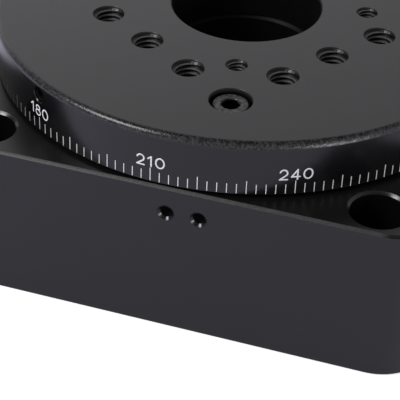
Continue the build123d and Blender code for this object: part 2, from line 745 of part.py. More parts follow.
# --------------------------------------------------------------------- export
pieces = [
    rotary_table, table_screws, hub, worm_wheel, wheel_screws, bearing_inner_ring,
    bearing_outer_ring, bearing_balls, bearing_cage, bearing_lock_nut, outer_clamp_ring,
    clamp_ring_screws, base_housing, front_set_screws, bottom_cover, cover_screws, worm_shaft,
    worm_bearing_inner_rings, worm_bearing_outer_rings, worm_bearing_balls, retaining_rings,
    preload_spring, worm_cap, knob_side_cap, cap_screws, drive_dial, hand_knob,
    knob_set_screws, lock_shoe, lock_screw,
]
os.makedirs("parts", exist_ok=True)
for piece in pieces:
    export_step(piece.part, f"parts/{piece.part.label}.step")
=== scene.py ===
"""Finishes, scale, numerals, screw threads and studio for a worm-driven rotation stage."""

import json
from math import cos, pi, radians, sin, tau

import bmesh
import bpy
from mathutils import Matrix, Vector


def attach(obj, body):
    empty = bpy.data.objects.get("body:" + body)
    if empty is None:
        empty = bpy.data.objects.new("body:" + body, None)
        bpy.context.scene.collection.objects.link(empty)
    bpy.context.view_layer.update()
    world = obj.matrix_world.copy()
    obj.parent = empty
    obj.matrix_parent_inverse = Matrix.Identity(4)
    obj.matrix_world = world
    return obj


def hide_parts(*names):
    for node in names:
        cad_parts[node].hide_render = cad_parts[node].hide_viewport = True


MM = 0.001

# The table, in metres as all sizes here; its scale starts at TABLE_ANGLE from the X axis
TABLE_RADIUS = 50 * MM
TABLE_THICKNESS = 11 * MM
TABLE_ANGLE = radians(56.7)
TABLE_EDGE_ROUND = 1.2 * MM
GRID_PITCH = 12.5 * MM
SMALL_TAP_CIRCLE = 24 * MM
GRIP_HOLE_Z = -3 * MM
GRIP_HOLE_DEPTH = 7.4 * MM

# The base, its drive and its lock
BASE_TOP, BASE_BOTTOM = -11.5 * MM, -44 * MM
BASE_HALF = 50 * MM
BASE_FRONT, BASE_BACK = -50 * MM, 63.8 * MM
BASE_CHAMFER = 0.5 * MM
WORM_Y, WORM_Z = 41 * MM, -23.3 * MM
CAP_FACE = 56 * MM
CAP_TOP = -13.2 * MM
LOCK_Z = -14.95 * MM
FRONT_HOLE_Z = -17.05 * MM
FRONT_HOLE_PLACES = (0.2 * MM, 6.4 * MM)

# Each thread's radius, the radius at its crest, and its pitch
M6_THREAD = (3.0 * MM, 2.46 * MM, 1.0 * MM)
M4_THREAD = (2.0 * MM, 1.64 * MM, 0.7 * MM)
M3_THREAD = (1.5 * MM, 1.23 * MM, 0.5 * MM)
FRONT_THREAD = (1.55 * MM, 1.23 * MM, 0.5 * MM)
FRONT_THREAD_START, FRONT_THREAD_LENGTH = 0.4 * MM, 2.6 * MM

# Screws: the table's are cap screws with their heads' seats SCREW_DEPTH down
SCREW_CIRCLE = 36.3 * MM
SCREW_DEPTH = 4.75 * MM
SCREW_TURN = radians(14)
FRONT_SCREW_RECESS = 3.2 * MM

# The table's scale: a division each two degrees, a longer one each ten, a numeral each thirty
DIVISION_COUNT, DIVISION_EVERY, NUMERAL_STEP = 180, 5, 30
DIVISION_FOOT = -10.58 * MM
DIVISION_SHORT, DIVISION_LONG = 2.0 * MM, 2.7 * MM
DIVISION_WIDTH = 0.145 * MM
NUMERAL_FOOT = -7.72 * MM
NUMERAL_HEIGHT, NUMERAL_STROKE = 2.36 * MM, 0.31 * MM
MARK_DEPTH = 0.05 * MM
# The scale's divisions are darkened as painted shade about this mark: fully within the first reach,
# not at all beyond the second
SHADED_MARK = 162
FULL_SHADE_REACH, NO_SHADE_REACH = 6 * MM, 17 * MM

# The dial on the worm
DIAL_RADIUS = 11 * MM
DIAL_START = 56.4 * MM
DIAL_BEVEL = 1.2 * MM
DIAL_COUNT, DIAL_EVERY = 48, 4
DIAL_SHORT, DIAL_LONG = 1.3 * MM, 2.2 * MM
DIAL_MARK_WIDTH = 0.22 * MM
DIAL_NUMERAL_FOOT = DIAL_START + 4.2 * MM
DIAL_NUMERAL_HEIGHT, DIAL_NUMERAL_STROKE = 1.7 * MM, 0.24 * MM

# The two index lines: where each starts and ends along its radius, and its width
SCALE_INDEX = (50.5 * MM, 53.4 * MM, 0.3 * MM)
SCALE_INDEX_ANGLE = radians(-22.5)
DIAL_INDEX = (CAP_FACE - 2.2 * MM, CAP_FACE - 0.6 * MM, 0.25 * MM)
INDEX_THICKNESS = 0.06 * MM

# The camera's place, turn and lens
CAMERA_PLACE = (65.356 * MM, -250.999 * MM, 143.094 * MM)
CAMERA_AZIMUTH, CAMERA_ELEVATION, CAMERA_ROLL = radians(16.2994), radians(36.6151), radians(-2.3909)
CAMERA_LENS = 132.162

# Values kept on a pattern's points: nearness to a thread's crest, and being in a screw's socket,
# which is painted black as shade
CREST = "crest"
SOCKET_SHADE = "in_socket"

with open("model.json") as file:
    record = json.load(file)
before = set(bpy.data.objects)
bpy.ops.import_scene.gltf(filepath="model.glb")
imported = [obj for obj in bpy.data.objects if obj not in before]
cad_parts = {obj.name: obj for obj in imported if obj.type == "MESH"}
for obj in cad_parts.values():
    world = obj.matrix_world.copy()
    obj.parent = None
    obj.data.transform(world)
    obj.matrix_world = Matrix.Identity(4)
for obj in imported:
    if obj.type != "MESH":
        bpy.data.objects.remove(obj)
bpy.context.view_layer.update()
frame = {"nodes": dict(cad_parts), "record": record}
nodes = frame["nodes"]


# ------------------------------------------------------------------ shader maths
class Value:
    """A number that varies over a surface. Sums on it add Math nodes to its finish."""

    def __init__(self, finish, socket):
        self.finish = finish
        self.socket = socket

    def maths(self, operation, *terms):
        made = self.finish.node("ShaderNodeMath", {"operation": operation}, dict(enumerate(terms)))
        return Value(self.finish, made.outputs[0])

    def __add__(self, other):
        return self.maths("ADD", self, other)

    def __radd__(self, other):
        return self.maths("ADD", other, self)

    def __sub__(self, other):
        return self.maths("SUBTRACT", self, other)

    def __rsub__(self, other):
        return self.maths("SUBTRACT", other, self)

    def __mul__(self, other):
        return self.maths("MULTIPLY", self, other)

    def __rmul__(self, other):
        return self.maths("MULTIPLY", other, self)

    def __truediv__(self, other):
        return self.maths("DIVIDE", self, other)

    def __pow__(self, other):
        return self.maths("POWER", self, other)

    def clamped(self):
        return self.maths("MINIMUM", self.maths("MAXIMUM", self, 0.0), 1.0)


class Shades:
    """A shader tree, emptied, that new nodes are added to."""

    def __init__(self, tree):
        self.tree = tree
        self.tree.nodes.clear()

    def node(self, kind, settings=None, inputs=None):
        """A new node with its settings made first, and then its inputs valued or linked."""
        made = self.tree.nodes.new(kind)
        for key, value in (settings or {}).items():
            setattr(made, key, value)
        for key, value in (inputs or {}).items():
            if isinstance(value, Value):
                value = value.socket
            if isinstance(value, bpy.types.NodeSocket):
                self.tree.links.new(value, made.inputs[key])
            else:
                made.inputs[key].default_value = value
        return made


class Finish(Shades):
    """A material: its principled shader, and the nodes that vary its sockets."""

    def __init__(self, name, **settings):
        self.material = bpy.data.materials.new(name)
        self.material.use_nodes = True
        super().__init__(self.material.node_tree)
        self.shader = self.node("ShaderNodeBsdfPrincipled")
        for socket, value in settings.items():
            self.shader.inputs[socket.replace("_", " ")].default_value = value
        output = self.node("ShaderNodeOutputMaterial")
        self.tree.links.new(self.shader.outputs[0], output.inputs["Surface"])

    def place(self):
        """The point's place in the stage, as three Values."""
        split = self.node("ShaderNodeSeparateXYZ", None,
                          {0: self.node("ShaderNodeTexCoord").outputs["Object"]})
        return [Value(self, socket) for socket in split.outputs]

    def noise(self, size, detail=2.0, roughness=0.5):
        """Noise from 0 to 1 whose grains are about this large."""
        where = self.node("ShaderNodeTexCoord").outputs["Object"]
        made = self.node("ShaderNodeTexNoise", None,
                         {"Vector": where, "Scale": 1 / size, "Detail": detail,
                          "Roughness": roughness})
        return Value(self, made.outputs[0])

    def kept(self, name):
        """A value kept on the piece's points, or 0 where the piece has none."""
        made = self.node("ShaderNodeAttribute", {"attribute_name": name})
        return Value(self, made.outputs["Fac"])

    def rings(self, along, size):
        """Fine lines from 0 to 1 across the Value along, as a lathe tool leaves them."""
        made = self.node("ShaderNodeTexNoise", {"noise_dimensions": "1D"},
                         {"W": along / size, "Scale": 1.0, "Detail": 2.0})
        return Value(self, made.outputs[0])

    def colour(self, factor, low, high):
        """Base Color between two colours."""
        mixed = self.node("ShaderNodeMix", {"data_type": "RGBA"},
                          {0: factor, 6: (*low, 1), 7: (*high, 1)})
        self.tree.links.new(mixed.outputs[2], self.shader.inputs["Base Color"])

    def vary(self, socket, value):
        self.tree.links.new(value.socket, self.shader.inputs[socket])

    def bump(self, height, depth, strength=1.0):
        """Raised detail, this deep where height goes from 0 to 1."""
        made = self.node("ShaderNodeBump", None,
                         {"Strength": strength, "Distance": depth, "Height": height})
        self.tree.links.new(made.outputs[0], self.shader.inputs["Normal"])


def ramp(value, low, high):
    """Rises from 0 to 1 as the Value goes from low to high."""
    return ((value - low) / (high - low)).clamped()


def table_masks(place):
    """How far a point is on the table's rounded edge, and in a hole's mouth in its top."""
    x, y, z = place
    radius = (x * x + y * y) ** 0.5
    on_edge = (ramp(radius, TABLE_RADIUS - TABLE_EDGE_ROUND, TABLE_RADIUS - 0.7 * TABLE_EDGE_ROUND)
               * ramp(z, -1.2 * TABLE_EDGE_ROUND, -0.8 * TABLE_EDGE_ROUND))
    inside = ramp(radius, TABLE_RADIUS - 3 * MM, TABLE_RADIUS - 4 * MM)
    sunk = ramp(z, -0.01 * MM, -0.05 * MM)
    in_mouth = inside * sunk * (0.2 + 0.8 * ramp(z, -0.7 * MM, -0.55 * MM))
    return on_edge, in_mouth


def base_masks(place):
    """How far a point is on the housing's top chamfer, and on its top face."""
    x, y, z = place
    reach = x.maths("ABSOLUTE", x) - BASE_HALF
    for beyond in (BASE_FRONT - y, y - BASE_BACK):
        reach = reach.maths("MAXIMUM", reach, beyond)
    under_table = 1.0 - ramp(z, BASE_TOP + 0.1 * MM, BASE_TOP + 0.3 * MM)
    chamfer_foot = BASE_TOP - BASE_CHAMFER
    on_chamfer = ramp(reach + z, chamfer_foot - 0.08 * MM, chamfer_foot) * under_table
    on_top = ramp(z, BASE_TOP - 0.3 * MM, BASE_TOP - 0.1 * MM) * under_table
    return on_chamfer, on_top


def blasted_black():
    """Bead-blasted, black anodised aluminium: a fine even grain, paler along its sharp edges,
    partly as wear and partly as a painted highlight.
    """
    finish = Finish("blasted_black_anodised", IOR=1.5)
    grain = finish.noise(0.2 * MM, 2.0, 0.6)
    cloud = finish.noise(14 * MM, 3.0)
    coarse = ramp(finish.noise(0.45 * MM, 3.0, 0.7), 0.42, 0.62)
    place = finish.place()
    on_edge, in_mouth = table_masks(place)
    on_chamfer, on_top = base_masks(place)
    # Paler grains along the table's rounded edge and the housing's top chamfer: partly wear, partly
    # a painted highlight of the lamps.
    paler = (coarse * (on_edge * 0.3 + on_chamfer * 0.14)).clamped()
    finish.colour((grain * 0.02 + cloud * 0.02 + paler).clamped(), (0.0012, 0.0012, 0.0014),
                  (0.11, 0.107, 0.113))
    dulled = on_edge * 0.04 + in_mouth * 0.5 + on_chamfer * 0.2 + on_top * 0.11
    finish.vary("Roughness", 0.18 + grain * 0.06 + cloud * 0.04 + dulled)
    finish.bump(grain * 0.35 + coarse * (on_edge * 0.8 + on_chamfer), 0.02 * MM, 0.6)
    return finish.material


def tool_lines(finish, axis_y, axis_z, along_x, size):
    """Lathe lines this far apart, about the Z axis or about a line along X."""
    x, y, z = finish.place()
    across, up = (y - axis_y, z - axis_z) if along_x else (x, y)
    radius = (across * across + up * up) ** 0.5
    return finish.rings(radius + (x if along_x else z), size)


def turned_black(name, axis_y, axis_z, along_x, roughness=0.2, ior=1.5):
    """Black anodised aluminium off the lathe, with tool lines about its own axis."""
    finish = Finish(name, IOR=ior)
    lines = tool_lines(finish, axis_y, axis_z, along_x, 0.12 * MM)
    cloud = finish.noise(9 * MM, 3.0)
    finish.colour(cloud, (0.0015, 0.0015, 0.0016), (0.0045, 0.0044, 0.0047))
    finish.vary("Roughness", roughness + lines * 0.1 + cloud * 0.05)
    finish.bump(lines, 0.006 * MM, 0.5)
    return finish.material


def turned_metal(name, low, high, roughness, axis_y=0.0, axis_z=0.0, along_x=False, grain=0.1 * MM):
    """Bare or clear-coated metal with tool lines about its own axis and slight staining."""
    finish = Finish(name, Metallic=1.0)
    lines = tool_lines(finish, axis_y, axis_z, along_x, grain)
    stain = finish.noise(6 * MM, 4.0)
    finish.colour((lines * 0.4 + stain * 0.6).clamped(), low, high)
    finish.vary("Roughness", roughness + lines * 0.12 + stain * 0.08)
    finish.bump(lines, 0.004 * MM, 0.5)
    return finish.material


def black_oxide(name, wear):
    """Blackened steel screws: a soft sheen, rubbed this much paler in places, their sockets held
    black as painted shade.
    """
    finish = Finish(name, Metallic=0.85, IOR=1.3)
    rubbed = finish.noise(0.7 * MM, 4.0, 0.6)
    # Painted shade: the socket gets none of the rubbed pale patches and stays black.
    outside = 1.0 - finish.kept(SOCKET_SHADE)
    finish.colour(((rubbed * 2.4 - 0.7) * outside * wear).clamped(), (0.003, 0.003, 0.003),
                  (0.14, 0.137, 0.133))
    finish.vary("Roughness", 0.3 + rubbed * 0.16)
    finish.bump(finish.noise(0.12 * MM), 0.004 * MM, 0.4)
    return finish.material


def thread_black(name, wear, roughness, ior=1.5):
    """The anodised flanks of a tapped thread, rubbed this much paler along their crests."""
    finish = Finish(name, IOR=ior)
    streaks = finish.noise(0.35 * MM, 3.0)
    rubbed = ramp(finish.kept(CREST) + streaks * 0.2, 0.62, 0.86)
    finish.colour(rubbed * (0.45 + streaks * 0.55) * wear, (0.0012, 0.0012, 0.0013),
                  (0.3, 0.295, 0.3))
    finish.vary("Roughness", roughness + streaks * 0.12)
    finish.bump(streaks, 0.006 * MM, 0.4)
    return finish.material


def filled_white():
    """White filler wiped into the engraved marks, darkened on the divisions by the grip hole as
    painted shade.
    """
    finish = Finish("white_scale_fill")
    patches = finish.noise(0.25 * MM, 3.0)
    x, y, z = finish.place()
    # Painted shade: divisions near the grip hole are darkened, while the numerals keep their full
    # white.
    shade_centre = Vector(on_circle(TABLE_RADIUS, TABLE_ANGLE + radians(SHADED_MARK), 0))
    away = ((x - shade_centre.x) ** 2.0 + (y - shade_centre.y) ** 2.0) ** 0.5
    unshaded = ramp(away, FULL_SHADE_REACH, NO_SHADE_REACH)
    bright_fill = unshaded.maths("MAXIMUM", unshaded, ramp(z, NUMERAL_FOOT - 0.1 * MM, NUMERAL_FOOT))
    finish.colour((0.05 + bright_fill * (0.7 + patches * 0.25)).clamped(), (0.004, 0.004, 0.0045),
                  (0.84, 0.84, 0.85))
    finish.vary("Roughness", 0.5 + patches * 0.2)
    finish.bump(patches, 0.01 * MM, 0.4)
    return finish.material


def filled_black():
    """Black filler in the dial's engraved marks."""
    finish = Finish("black_dial_fill")
    patches = finish.noise(0.25 * MM, 3.0)
    finish.colour(patches, (0.012, 0.012, 0.013), (0.035, 0.035, 0.036))
    finish.vary("Roughness", 0.5 + patches * 0.2)
    finish.bump(patches, 0.008 * MM, 0.4)
    return finish.material


# -------------------------------------------------------------- geometry nodes
class Layout:
    """A geometry node tree that sets out a repeated shape, and makes plain meshes of it."""

    def __init__(self, name):
        self.tree = bpy.data.node_groups.new(name, "GeometryNodeTree")
        self.entry = self.tree.nodes.new("NodeGroupInput")
        self.exit = self.tree.nodes.new("NodeGroupOutput")
        self.tree.interface.new_socket("Geometry", in_out="INPUT",
                                       socket_type="NodeSocketGeometry")
        self.tree.interface.new_socket("Geometry", in_out="OUTPUT",
                                       socket_type="NodeSocketGeometry")

    def given(self, name, kind="Float"):
        """A named input of the tree."""
        self.tree.interface.new_socket(name, in_out="INPUT", socket_type=f"NodeSocket{kind}")
        return self.entry.outputs[name]

    def node(self, kind, settings=None, inputs=None, output=0):
        """A new node's output, its settings made first and its inputs valued or linked."""
        made = self.tree.nodes.new(kind)
        for key, value in (settings or {}).items():
            setattr(made, key, value)
        for key, value in (inputs or {}).items():
            if isinstance(value, bpy.types.NodeSocket):
                self.tree.links.new(value, made.inputs[key])
            else:
                made.inputs[key].default_value = value
        return made.outputs[output]

    def maths(self, operation, *terms):
        return self.node("ShaderNodeMath", {"operation": operation}, dict(enumerate(terms)))

    def end(self, instances, finish):
        """Closes the tree: instances made real, in one finish."""
        real = self.node("GeometryNodeRealizeInstances", None, {0: instances})
        done = self.node("GeometryNodeSetMaterial", None, {"Geometry": real, "Material": finish})
        self.tree.links.new(done, self.exit.inputs[0])

    def piece(self, name, start=None, place=None, **sizes):
        """A plain mesh object made by the tree with these sizes, moved to its place."""
        carrier = bpy.data.objects.new(name + "_layout", start or bpy.data.meshes.new("start"))
        bpy.context.scene.collection.objects.link(carrier)
        modifier = carrier.modifiers.new("layout", "NODES")
        modifier.node_group = self.tree
        for item in self.tree.interface.items_tree:
            key = item.name.lower().replace(" ", "_")
            if item.in_out == "INPUT" and key in sizes:
                modifier[item.identifier] = sizes[key]
        mesh = bpy.data.meshes.new_from_object(
            carrier.evaluated_get(bpy.context.evaluated_depsgraph_get()))
        carrier.modifiers.clear()
        bpy.data.objects.remove(carrier)
        if place:
            mesh.transform(place)
        mesh.name = name
        made = bpy.data.objects.new(name, mesh)
        bpy.context.scene.collection.objects.link(made)
        return made


def division_layout():
    """Upright marks round a drum, with a longer one at every so many."""
    layout = Layout("scale_divisions")
    count = layout.given("Count", "Int")
    radius = layout.given("Radius")
    width = layout.given("Width")
    depth = layout.given("Depth")
    foot = layout.given("Foot")
    short = layout.given("Short")
    long = layout.given("Long")
    every = layout.given("Every", "Int")
    finish = layout.given("Finish", "Material")
    index = layout.node("GeometryNodeInputIndex")
    angle = layout.maths("MULTIPLY", index, layout.maths("DIVIDE", tau, count))
    spot = layout.node("ShaderNodeCombineXYZ", None, {
        0: layout.maths("MULTIPLY", radius, layout.maths("COSINE", angle)),
        1: layout.maths("MULTIPLY", radius, layout.maths("SINE", angle)),
        2: foot})
    points = layout.node("GeometryNodePoints", None, {"Count": count, "Position": spot})
    is_short = layout.maths("GREATER_THAN", layout.maths("MODULO", index, every), 0.5)
    height = layout.maths("ADD", long, layout.maths(
        "MULTIPLY", is_short, layout.maths("SUBTRACT", short, long)))
    block = layout.node("GeometryNodeMeshCube", None, {"Size": (1, 1, 1)})
    upright = layout.node("GeometryNodeTransform", None,
                          {"Geometry": block, "Translation": (0, 0, 0.5)})
    turn = layout.node("ShaderNodeCombineXYZ", None, {2: angle})
    size = layout.node("ShaderNodeCombineXYZ", None, {0: depth, 1: width, 2: height})
    marks = layout.node("GeometryNodeInstanceOnPoints", None, {
        "Points": points, "Instance": upright, "Rotation": turn, "Scale": size})
    layout.end(marks, finish)
    return layout


def copy_layout():
    """Copies of one pattern piece, set out on a mesh's points."""
    layout = Layout("set_out_copies")
    pattern = layout.given("Pattern", "Object")
    turn = layout.given("Turn", "Vector")
    finish = layout.given("Finish", "Material")
    shape = layout.node("GeometryNodeObjectInfo", None, {"Object": pattern}, "Geometry")
    marks = layout.node("GeometryNodeInstanceOnPoints", None, {
        "Points": layout.entry.outputs["Geometry"], "Instance": shape, "Rotation": turn})
    layout.end(marks, finish)
    return layout


# ----------------------------------------------------------------- small shapes
def mesh_object(name, bm, finish=None):
    """An object from a bmesh, its faces pointing outwards."""
    bmesh.ops.recalc_face_normals(bm, faces=bm.faces)
    mesh = bpy.data.meshes.new(name)
    bm.to_mesh(mesh)
    bm.free()
    if finish:
        mesh.materials.append(finish)
    made = bpy.data.objects.new(name, mesh)
    bpy.context.scene.collection.objects.link(made)
    return made


def keep(piece, name, worth):
    """Keeps a value for each point of the piece, worked out from its place."""
    values = piece.data.attributes.new(name, "FLOAT", "POINT").data
    for vertex, value in zip(piece.data.vertices, values):
        value.value = worth(vertex.co)


def helical_ridge(name, radius, crest, pitch, length, steps=26):
    """The ridge of an internal thread, hanging down from z = 0 round the Z axis."""
    bm = bmesh.new()
    count = int(steps * length / pitch)
    profile = [(radius, -0.46), (radius, 0.46), (crest, 0.07), (crest, -0.07)]
    loops = []
    for step in range(count + 1):
        angle = tau * step / steps
        sink = -pitch * (0.5 + step / steps)
        fade = min(1.0, 3 * step / steps, 3 * (count - step) / steps)
        loops.append([
            bm.verts.new((
                (radius + (r - radius) * fade) * cos(angle),
                (radius + (r - radius) * fade) * sin(angle),
                sink + pitch * rise))
            for r, rise in profile])
    for above, below in zip(loops, loops[1:]):
        for i in range(4):
            j = (i + 1) % 4
            bm.faces.new((above[i], above[j], below[j], below[i]))
    bm.faces.new(loops[0])
    bm.faces.new(reversed(loops[-1]))
    made = mesh_object(name, bm)
    keep(made, CREST, lambda point: (radius - point.xy.length) / (radius - crest))
    return made


def lofted(name, rings, finish=None, hollow=False):
    """A solid through rings of points, as many on each; a hollow one closes on its first ring."""
    bm = bmesh.new()
    loops = [[bm.verts.new(point) for point in ring] for ring in rings]
    following = loops[1:] + loops[:1] if hollow else loops[1:]
    for below, above in zip(loops, following):
        for i in range(len(below)):
            j = (i + 1) % len(below)
            bm.faces.new((below[i], below[j], above[j], above[i]))
    if not hollow:
        bm.faces.new(reversed(loops[0]))
        bm.faces.new(loops[-1])
    return mesh_object(name, bm, finish)


def ring(radius, height, count=72, lobes=0, lobe_depth=0.0, corners=0):
    """Points round Z: a circle, one with small lobes round it, or a polygon with corners."""
    points = []
    for i in range(count):
        angle = tau * i / count
        reach = radius
        if lobes:
            reach -= lobe_depth * (0.5 - 0.5 * cos(lobes * angle))
        if corners:
            side = tau / corners
            reach = radius * cos(side / 2) / cos((angle % side) - side / 2)
        points.append(on_circle(reach, angle, height))
    return points


def cap_screw_pattern(name, radius, length, head_radius, head_height, socket):
    """A socket-head cap screw with a knurled head, standing on z = 0."""
    corner = socket / 2 / cos(pi / 6)
    bevel = head_height / 16
    count = 144
    made = lofted(name, [
        ring(radius * 0.7, -length, count),
        ring(radius, -length + radius * 0.3, count),
        ring(radius, 0.0, count),
        ring(head_radius - bevel, 0.0, count),
        ring(head_radius, bevel, count, 36, bevel / 2),
        ring(head_radius, head_height - 1.6 * bevel, count, 36, bevel / 2),
        ring(head_radius - bevel * 0.7, head_height - bevel * 0.7, count),
        ring(head_radius - bevel * 1.4, head_height, count),
        ring(corner * 1.09, head_height, count),
        ring(corner, head_height - corner * 0.13, count, corners=6),
        ring(corner, head_height * 0.5, count, corners=6),
        ring(corner * 0.1, head_height * 0.38, count),
    ])
    # The socket's points, which the screw finish paints black as shade.
    keep(made, SOCKET_SHADE, lambda point: point.xy.length < corner * 1.01 and point.z > bevel)
    return made


def set_screw_pattern(name, radius, length, socket):
    """A headless screw with a bevelled, socketed top at z = 0 and a coned tip."""
    corner = socket / 2 / cos(pi / 6)
    return lofted(name, [
        ring(radius * 0.5, -length),
        ring(radius, -length + radius * 0.5),
        ring(radius, -radius * 0.2),
        ring(radius * 0.8, 0.0),
        ring(corner * 1.08, 0.0),
        ring(corner, -corner * 0.12, corners=6),
        ring(corner, -length * 0.5, corners=6),
        ring(corner * 0.1, -length * 0.55),
    ])


def spots(name, places):
    """A mesh of loose points at these places."""
    mesh = bpy.data.meshes.new(name)
    mesh.from_pydata(places, [], [])
    return mesh


def on_circle(radius, angle, height):
    return (radius * cos(angle), radius * sin(angle), height)


def arc(x, y, across, up, start, end):
    """Points along part of an ellipse about (x, y), from one angle in degrees to another."""
    steps = max(4, round(abs(end - start) / 15))
    angles = [radians(start + (end - start) * i / steps) for i in range(steps + 1)]
    return [(x + across * cos(a), y + up * sin(a)) for a in angles]


# The engraver's digits: each one's width and its strokes, in a cell one unit tall
DIGITS = {
    "0": (0.76, [arc(0.38, 0.5, 0.38, 0.5, 90, 450)]),
    "1": (0.38, [[(0.0, 0.76), (0.3, 1.0)], [(0.3, 1.0), (0.3, 0.0)]]),
    "2": (0.68, [arc(0.34, 0.67, 0.32, 0.33, 165, -38), [(0.59, 0.46), (0.0, 0.0)],
                 [(0.0, 0.0), (0.68, 0.0)]]),
    "3": (0.68, [arc(0.32, 0.76, 0.28, 0.24, 150, -90), arc(0.32, 0.26, 0.34, 0.26, 90, -150)]),
    "4": (0.72, [[(0.52, 0.0), (0.52, 1.0)], [(0.52, 1.0), (0.0, 0.26)],
                 [(0.0, 0.26), (0.72, 0.26)]]),
    "5": (0.68, [[(0.6, 1.0), (0.12, 1.0)], [(0.12, 1.0), (0.06, 0.54)],
                 arc(0.33, 0.32, 0.34, 0.32, 140, -150)]),
    "6": (0.7, [arc(0.35, 0.31, 0.35, 0.31, 90, 450), [(0.04, 0.46), (0.42, 1.0)]]),
    "7": (0.66, [[(0.0, 1.0), (0.66, 1.0)], [(0.66, 1.0), (0.2, 0.0)]]),
    "8": (0.7, [arc(0.35, 0.77, 0.27, 0.23, 90, 450), arc(0.35, 0.27, 0.35, 0.27, 90, 450)]),
    "9": (0.7, [arc(0.35, 0.69, 0.35, 0.31, 90, 450), [(0.66, 0.54), (0.28, 0.0)]]),
}


def round_curve(name, width):
    """An empty curve whose strokes come out round and this wide."""
    curve = bpy.data.curves.new(name, "CURVE")
    curve.dimensions = "3D"
    curve.bevel_depth = width / 2
    curve.bevel_resolution = 2
    curve.use_fill_caps = True
    return curve


def curve_mesh(curve):
    """The curve's strokes as a mesh."""
    carrier = bpy.data.objects.new(curve.name, curve)
    bpy.context.scene.collection.objects.link(carrier)
    mesh = bpy.data.meshes.new_from_object(
        carrier.evaluated_get(bpy.context.evaluated_depsgraph_get()))
    bpy.data.objects.remove(carrier)
    return mesh


def numeral(text, height, stroke):
    """Round-ended engraved strokes, centred on X with their foot on Y = 0, as a flat mesh."""
    curve = round_curve("numeral", stroke)
    cell = height - stroke
    gap = stroke + 0.18 * height
    widths = [DIGITS[digit][0] * cell for digit in text]
    x = -(sum(widths) + gap * (len(text) - 1)) / 2
    for digit, width in zip(text, widths):
        for stroke_points in DIGITS[digit][1]:
            points = [(x + u * cell, stroke / 2 + v * cell) for u, v in stroke_points]
            add_stroke(curve, points, stroke / 2)
        x += width + gap
    return curve_mesh(curve)


def add_stroke(curve, points, radius):
    """One stroke of a numeral, its two ends rounded off by narrowing it."""
    first, last = Vector(points[0]), Vector(points[-1])
    if (last - first).length < radius / 10:
        spline = curve.splines.new("POLY")
        spline.points.add(len(points) - 2)
        for spot, (px, py) in zip(spline.points, points):
            spot.co = (px, py, 0, 1)
        spline.use_cyclic_u = True
        return
    ahead = (Vector(points[1]) - first).normalized()
    behind = (Vector(points[-2]) - last).normalized()
    round_off = [(1.0, 0.05), (0.87, 0.5), (0.5, 0.87)]
    nodes_along = [((first - ahead * radius * out), thin) for out, thin in round_off]
    nodes_along += [(Vector(point), 1.0) for point in points]
    nodes_along += [((last - behind * radius * out), thin) for out, thin in reversed(round_off)]
    spline = curve.splines.new("POLY")
    spline.points.add(len(nodes_along) - 1)
    for spot, (place, thin) in zip(spline.points, nodes_along):
        spot.co = (place.x, place.y, 0, 1)
        spot.radius = thin


def numerals_round_drum(name, labels, radius, foot, height, stroke, finish, place=None):
    """Numbers wrapped round a drum about Z: labels are (text, angle)."""
    bm = bmesh.new()
    for text, angle in labels:
        mesh = numeral(text, height, stroke)
        for vertex in mesh.vertices:
            x, y, z = vertex.co
            vertex.co = on_circle(radius + z * 0.15, angle + x / radius, foot + y)
        bm.from_mesh(mesh)
    made = mesh_object(name, bm, finish)
    if place:
        made.data.transform(place)
    return made


# -------------------------------------------------------------------- finishes
black = blasted_black()
white = filled_white()
thread = thread_black("thread_black_anodised", 0.35, 0.32)
mouth = thread_black("mouth_black_anodised", 0.0, 0.18)
deep_thread = thread_black("deep_thread_anodised", 0.0, 0.3, 1.2)
oxide = black_oxide("black_oxide_steel", 1.0)
# The front set screws' steel, never rubbed paler, kept near black as painted shade deep in their
# holes.
shaded_oxide = black_oxide("fresh_black_oxide_steel", 0.0)
worm_axis = {"axis_y": WORM_Y, "axis_z": WORM_Z, "along_x": True}
finishes = {
    "black_anodised": black,
    "hub_anodised": turned_black("hub_black_anodised", 0.0, 0.0, False, 0.4, 1.2),
    "knob_anodised": turned_black("knob_black_anodised", WORM_Y, WORM_Z, True),
    "dial_aluminium": turned_metal("dial_clear_anodised", (0.5, 0.5, 0.51), (0.66, 0.66, 0.67),
                                   0.32, **worm_axis),
    "plain_aluminium": turned_metal("turned_aluminium", (0.6, 0.6, 0.61), (0.75, 0.75, 0.76), 0.3),
    "black_screw": oxide,
    "screw_steel": turned_metal("bright_screw_steel", (0.38, 0.38, 0.39), (0.5, 0.5, 0.51), 0.3),
    "plain_steel": turned_metal("ground_steel", (0.34, 0.34, 0.35), (0.46, 0.46, 0.47), 0.22,
                                **worm_axis),
    "spring_steel": turned_metal("blued_spring_steel", (0.16, 0.16, 0.18), (0.3, 0.3, 0.33), 0.28),
    "bearing_steel": turned_metal("polished_bearing_steel", (0.6, 0.6, 0.62), (0.74, 0.74, 0.76),
                                  0.1),
    "bronze": turned_metal("hobbed_bronze", (0.5, 0.31, 0.14), (0.66, 0.44, 0.22), 0.26),
    "cage_brass": turned_metal("turned_brass", (0.6, 0.46, 0.2), (0.74, 0.58, 0.28), 0.24),
}
own_finishes = {"lock_screw": turned_black("lock_black_anodised", 0.0, LOCK_Z, True)}
for part in frame["record"]["subparts"]:
    mesh = nodes[part["node"]].data
    for slot in range(len(mesh.materials)):
        mesh.materials[slot] = own_finishes.get(part["node"], finishes[part["material_slot"]])

